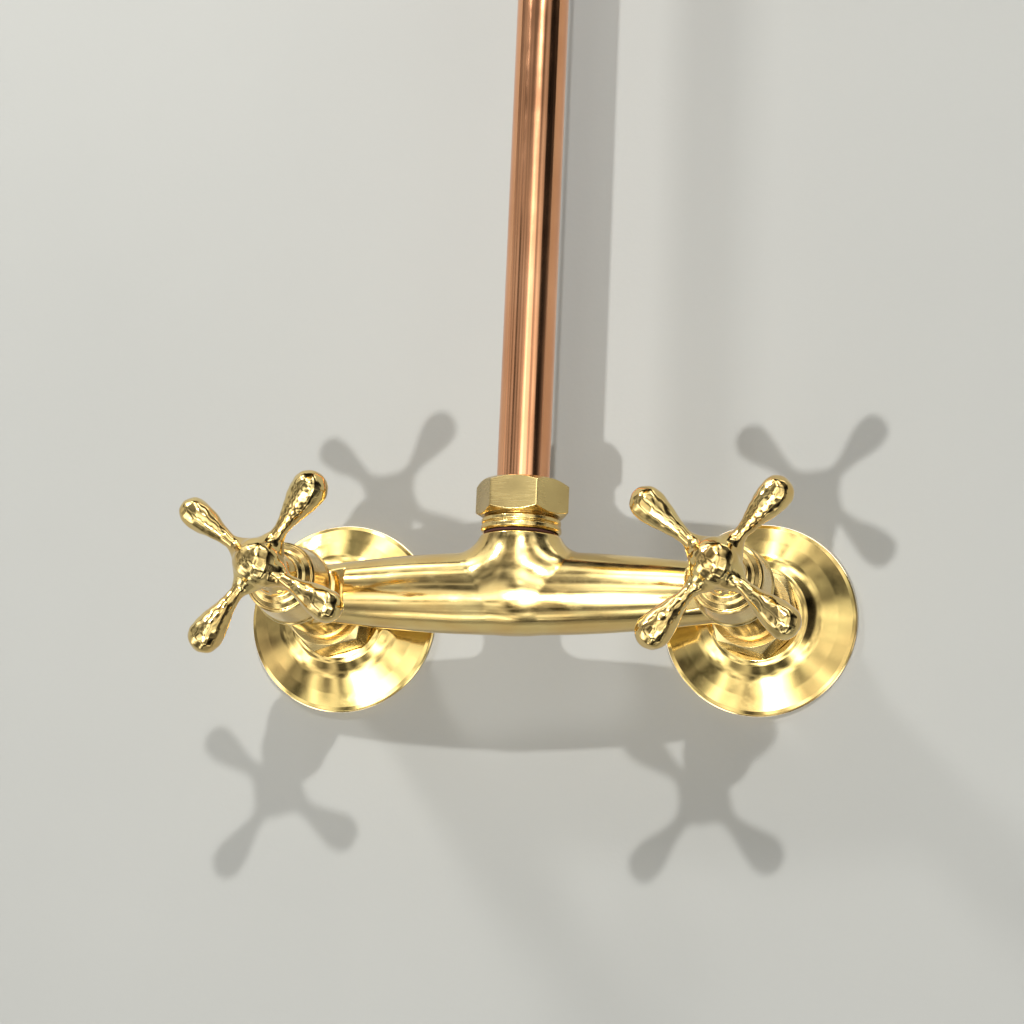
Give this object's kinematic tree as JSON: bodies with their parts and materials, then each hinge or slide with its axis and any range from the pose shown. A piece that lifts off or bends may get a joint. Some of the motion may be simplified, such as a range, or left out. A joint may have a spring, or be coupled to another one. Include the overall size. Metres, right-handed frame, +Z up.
{
  "type": "rainfall shower column",
  "caption": "Wall-mounted shower column: brass two-handle mixer, copper riser bent into an overhead arm, wall bracket and round rain head on a ball joint.",
  "frame": {"origin": "the point on the finished wall midway between the hot and cold inlet axes", "axes": "+Z up along the riser, +Y into the wall, +X towards the cold side, to the right of someone facing the column"},
  "size_m": [0.2176, 0.511, 1.003],
  "materials": {
    "polished_brass": "hand-polished yellow brass",
    "turned_brass": "as turned, lightly tarnished",
    "polished_copper": "polished copper tube",
    "steel": "bright steel",
    "ceramic": "lapped alumina",
    "black_rubber": "moulded",
    "fibre": "pressed vulcanised fibre"
  },
  "bodies": {
    "column": {"mixer_body": "polished_brass", "hot_wall_connector": "turned_brass", "hot_wall_flange": "polished_brass", "hot_union_nut": "polished_brass", "hot_union_washer": "black_rubber", "hot_headwork": "turned_brass", "hot_headwork_seal": "black_rubber", "hot_fixed_disc": "ceramic", "hot_bell": "polished_brass", "cold_wall_connector": "turned_brass", "cold_wall_flange": "polished_brass", "cold_union_nut": "polished_brass", "cold_union_washer": "black_rubber", "cold_headwork": "turned_brass", "cold_headwork_seal": "black_rubber", "cold_fixed_disc": "ceramic", "cold_bell": "polished_brass", "riser_washer": "fibre", "riser_collar": "polished_brass", "riser_olive": "turned_brass", "riser_nut": "polished_brass", "riser_pipe": "polished_copper", "bracket_rose": "polished_brass", "bracket_stem": "polished_brass", "bracket_clamp": "polished_brass", "bracket_screw_left": "polished_brass", "bracket_screw_right": "polished_brass", "arm_nut": "polished_brass", "arm_olive": "turned_brass"},
    "hot_handle": {"hot_cross_handle": "polished_brass", "hot_grub_screw": "steel", "hot_spindle": "turned_brass", "hot_spindle_clip": "steel", "hot_spindle_o_ring": "black_rubber", "hot_turning_disc": "ceramic"},
    "cold_handle": {"cold_cross_handle": "polished_brass", "cold_grub_screw": "steel", "cold_spindle": "turned_brass", "cold_spindle_clip": "steel", "cold_spindle_o_ring": "black_rubber", "cold_turning_disc": "ceramic"},
    "swivel": {"ball_stud": "polished_brass"},
    "head": {"swivel_ring": "polished_brass", "head_socket": "polished_brass", "ball_seal": "black_rubber", "head_lock_nut": "turned_brass", "head_dome": "polished_brass", "head_carrier": "turned_brass", "spray_plate": "polished_brass", "plate_screw_1": "polished_brass", "plate_screw_2": "polished_brass", "plate_screw_3": "polished_brass", "plate_screw_4": "polished_brass"}
  },
  "joints": [
    {"name": "hot_handle_turn", "type": "hinge", "parent": "column", "child": "hot_handle", "pos_m": [-0.075, -0.105, 0], "axis": [0, -1, 0], "range_deg": [0, 90]},
    {"name": "cold_handle_turn", "type": "hinge", "parent": "column", "child": "cold_handle", "pos_m": [0.075, -0.105, 0], "axis": [0, -1, 0], "range_deg": [-90, 0]},
    {"name": "head_turn", "type": "hinge", "parent": "column", "child": "swivel", "pos_m": [0, -0.381, 0.867], "axis": [0, 0, 1], "continuous": true},
    {"name": "head_tilt", "type": "hinge", "parent": "swivel", "child": "head", "pos_m": [0, -0.381, 0.867], "axis": [1, 0, 0], "range_deg": [-15, 15]}
  ]
}
